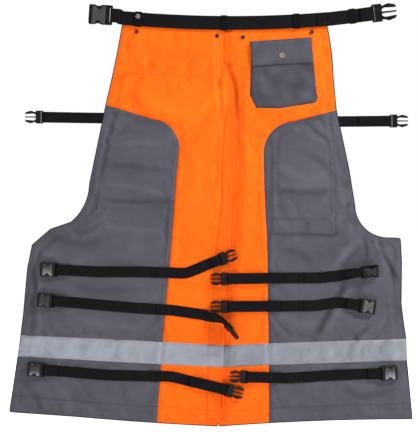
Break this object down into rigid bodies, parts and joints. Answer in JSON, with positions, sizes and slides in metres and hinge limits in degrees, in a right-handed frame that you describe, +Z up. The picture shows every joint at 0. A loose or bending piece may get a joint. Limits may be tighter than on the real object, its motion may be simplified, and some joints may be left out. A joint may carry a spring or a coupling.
{
  "type": "chainsaw chaps",
  "caption": "Protective leg chaps laid open: orange fronts, dark side panels, reflective shin bands, waist belt, thigh and calf straps with side-release buckles, and a snap pocket.",
  "frame": {"origin": "under the middle of the laid-out garment: X and Y at the centre of the overall box, Z = 0 at the lowest point of the hem", "axes": "+Z up from hem to waist, +X to the right seen from the front, +Y from the front to the back (towards the wearer)"},
  "size_m": [0.934, 0.0421, 0.9769],
  "materials": {
    "orange_cloth": "woven, water-repellent",
    "grey_cloth": "woven, water-repellent",
    "lining_mesh": "smooth woven lining",
    "protective_fibre": "layered chain-stopping fibre",
    "black_binding": "ribbed edge tape",
    "black_webbing": "ribbed nylon webbing",
    "reflective_tape": "retroreflective, slightly glossy",
    "black_plastic": "moulded, semi-gloss",
    "nickel": "polished",
    "snap_brass": "satin",
    "dark_rivet": "satin"
  },
  "bodies": {
    "upper": {"left_upper_shell": "orange_cloth", "right_upper_shell": "orange_cloth", "left_upper_side_panel": "grey_cloth", "right_upper_side_panel": "grey_cloth", "upper_linings": "lining_mesh", "upper_padding": "protective_fibre", "upper_edge_binding": "black_binding", "crotch_strip": "orange_cloth", "pocket_pouch": "grey_cloth", "pocket_snap_stud": "snap_brass", "waist_belt": "black_webbing", "belt_loops": "black_webbing", "belt_eyelet": "nickel", "waist_rivets": "dark_rivet"},
    "lower": {"left_lower_shell": "orange_cloth", "right_lower_shell": "orange_cloth", "left_lower_side_panel": "grey_cloth", "right_lower_side_panel": "grey_cloth", "lower_linings": "lining_mesh", "lower_padding": "protective_fibre", "lower_edge_binding": "black_binding", "reflective_tape": "reflective_tape", "calf_strap_anchors": "black_webbing"},
    "flap": {"pocket_flap": "grey_cloth", "pocket_snap_cap": "snap_brass"},
    "belt_left": {"waist_belt_left_end": "black_webbing", "waist_female_buckle": "black_plastic"},
    "belt_right": {"waist_belt_right_end": "black_webbing", "belt_keeper": "black_webbing", "waist_male_buckle": "black_plastic"},
    "latch_upper": {"waist_latch_upper_arm": "black_plastic"},
    "latch_lower": {"waist_latch_lower_arm": "black_plastic"},
    "thigh_left": {"left_thigh_strap": "black_webbing", "left_thigh_buckle": "black_plastic"},
    "thigh_right": {"right_thigh_strap": "black_webbing", "right_thigh_buckle": "black_plastic"},
    "left_top_outer": {"left_top_calf_outer_strap": "black_webbing", "left_top_calf_socket": "black_plastic"},
    "left_top_inner": {"left_top_calf_inner_strap": "black_webbing", "left_top_calf_plug": "black_plastic"},
    "left_middle_outer": {"left_middle_calf_outer_strap": "black_webbing", "left_middle_calf_socket": "black_plastic"},
    "left_middle_inner": {"left_middle_calf_inner_strap": "black_webbing", "left_middle_calf_plug": "black_plastic"},
    "left_bottom_outer": {"left_bottom_calf_outer_strap": "black_webbing", "left_bottom_calf_socket": "black_plastic"},
    "left_bottom_inner": {"left_bottom_calf_inner_strap": "black_webbing", "left_bottom_calf_plug": "black_plastic"},
    "right_top_outer": {"right_top_calf_outer_strap": "black_webbing", "right_top_calf_socket": "black_plastic"},
    "right_top_inner": {"right_top_calf_inner_strap": "black_webbing", "right_top_calf_plug": "black_plastic"},
    "right_middle_outer": {"right_middle_calf_outer_strap": "black_webbing", "right_middle_calf_socket": "black_plastic"},
    "right_middle_inner": {"right_middle_calf_inner_strap": "black_webbing", "right_middle_calf_plug": "black_plastic"},
    "right_bottom_outer": {"right_bottom_calf_outer_strap": "black_webbing", "right_bottom_calf_socket": "black_plastic"},
    "right_bottom_inner": {"right_bottom_calf_inner_strap": "black_webbing", "right_bottom_calf_plug": "black_plastic"}
  },
  "joints": [
    {"name": "knee_fold", "type": "hinge", "parent": "upper", "child": "lower", "pos_m": [0, 0.0212, 0.4175], "axis": [1, 0, 0], "range_deg": [0, 110]},
    {"name": "belt_left_swing", "type": "hinge", "parent": "upper", "child": "belt_left", "pos_m": [-0.21, 0.009, 0.948], "axis": [0, 0, -1], "range_deg": [-60, 90]},
    {"name": "belt_right_swing", "type": "hinge", "parent": "upper", "child": "belt_right", "pos_m": [0.2728, 0.009, 0.941], "axis": [0, 0, 1], "range_deg": [-60, 90]},
    {"name": "latch_upper_squeeze", "type": "hinge", "parent": "belt_right", "child": "latch_upper", "pos_m": [0.38917, 0.0067, 0.96558], "axis": [0, 1, 0], "range_deg": [0, 6]},
    {"name": "latch_lower_squeeze", "type": "hinge", "parent": "belt_right", "child": "latch_lower", "pos_m": [0.39171, 0.0067, 0.94467], "axis": [0, 1, 0], "range_deg": [-6, 0]},
    {"name": "thigh_left_swing", "type": "hinge", "parent": "upper", "child": "thigh_left", "pos_m": [-0.257, 0.0178, 0.713], "axis": [0, 0, -1], "range_deg": [-80, 100]},
    {"name": "thigh_right_swing", "type": "hinge", "parent": "upper", "child": "thigh_right", "pos_m": [0.303, 0.0178, 0.705], "axis": [0, 0, 1], "range_deg": [-80, 100]},
    {"name": "pocket_flap_lift", "type": "hinge", "parent": "upper", "child": "flap", "pos_m": [0.091, 0.00695, 0.883], "axis": [-0.9975, 0, -0.0702], "range_deg": [0, 150]},
    {"name": "left_top_outer_lift", "type": "hinge", "parent": "lower", "child": "left_top_outer", "pos_m": [-0.1645, 0.0081, 0.358], "axis": [0, 0, 1], "range_deg": [0, 85]},
    {"name": "left_top_inner_lift", "type": "hinge", "parent": "lower", "child": "left_top_inner", "pos_m": [-0.0945, 0.0081, 0.356], "axis": [0, 0, -1], "range_deg": [0, 85]},
    {"name": "left_middle_outer_lift", "type": "hinge", "parent": "lower", "child": "left_middle_outer", "pos_m": [-0.1645, 0.0081, 0.274], "axis": [0, 0, 1], "range_deg": [0, 85]},
    {"name": "left_middle_inner_lift", "type": "hinge", "parent": "lower", "child": "left_middle_inner", "pos_m": [-0.0945, 0.0081, 0.27], "axis": [0, 0, -1], "range_deg": [0, 85]},
    {"name": "left_bottom_outer_lift", "type": "hinge", "parent": "lower", "child": "left_bottom_outer", "pos_m": [-0.1645, 0.0081, 0.118], "axis": [0, 0, 1], "range_deg": [0, 85]},
    {"name": "left_bottom_inner_lift", "type": "hinge", "parent": "lower", "child": "left_bottom_inner", "pos_m": [-0.0945, 0.0081, 0.117], "axis": [0, 0, -1], "range_deg": [0, 85]},
    {"name": "right_top_outer_lift", "type": "hinge", "parent": "lower", "child": "right_top_outer", "pos_m": [0.2465, 0.0081, 0.344], "axis": [0, 0, -1], "range_deg": [0, 85]},
    {"name": "right_top_inner_lift", "type": "hinge", "parent": "lower", "child": "right_top_inner", "pos_m": [0.1765, 0.0081, 0.344], "axis": [0, 0, 1], "range_deg": [0, 85]},
    {"name": "right_middle_outer_lift", "type": "hinge", "parent": "lower", "child": "right_middle_outer", "pos_m": [0.2465, 0.0081, 0.28], "axis": [0, 0, -1], "range_deg": [0, 85]},
    {"name": "right_middle_inner_lift", "type": "hinge", "parent": "lower", "child": "right_middle_inner", "pos_m": [0.1765, 0.0081, 0.279], "axis": [0, 0, 1], "range_deg": [0, 85]},
    {"name": "right_bottom_outer_lift", "type": "hinge", "parent": "lower", "child": "right_bottom_outer", "pos_m": [0.2465, 0.0081, 0.117], "axis": [0, 0, -1], "range_deg": [0, 85]},
    {"name": "right_bottom_inner_lift", "type": "hinge", "parent": "lower", "child": "right_bottom_inner", "pos_m": [0.1765, 0.0081, 0.113], "axis": [0, 0, 1], "range_deg": [0, 85]}
  ],
  "couplings": [
    {"joint": "latch_lower_squeeze", "follows": "latch_upper_squeeze", "ratio": -1}
  ]
}
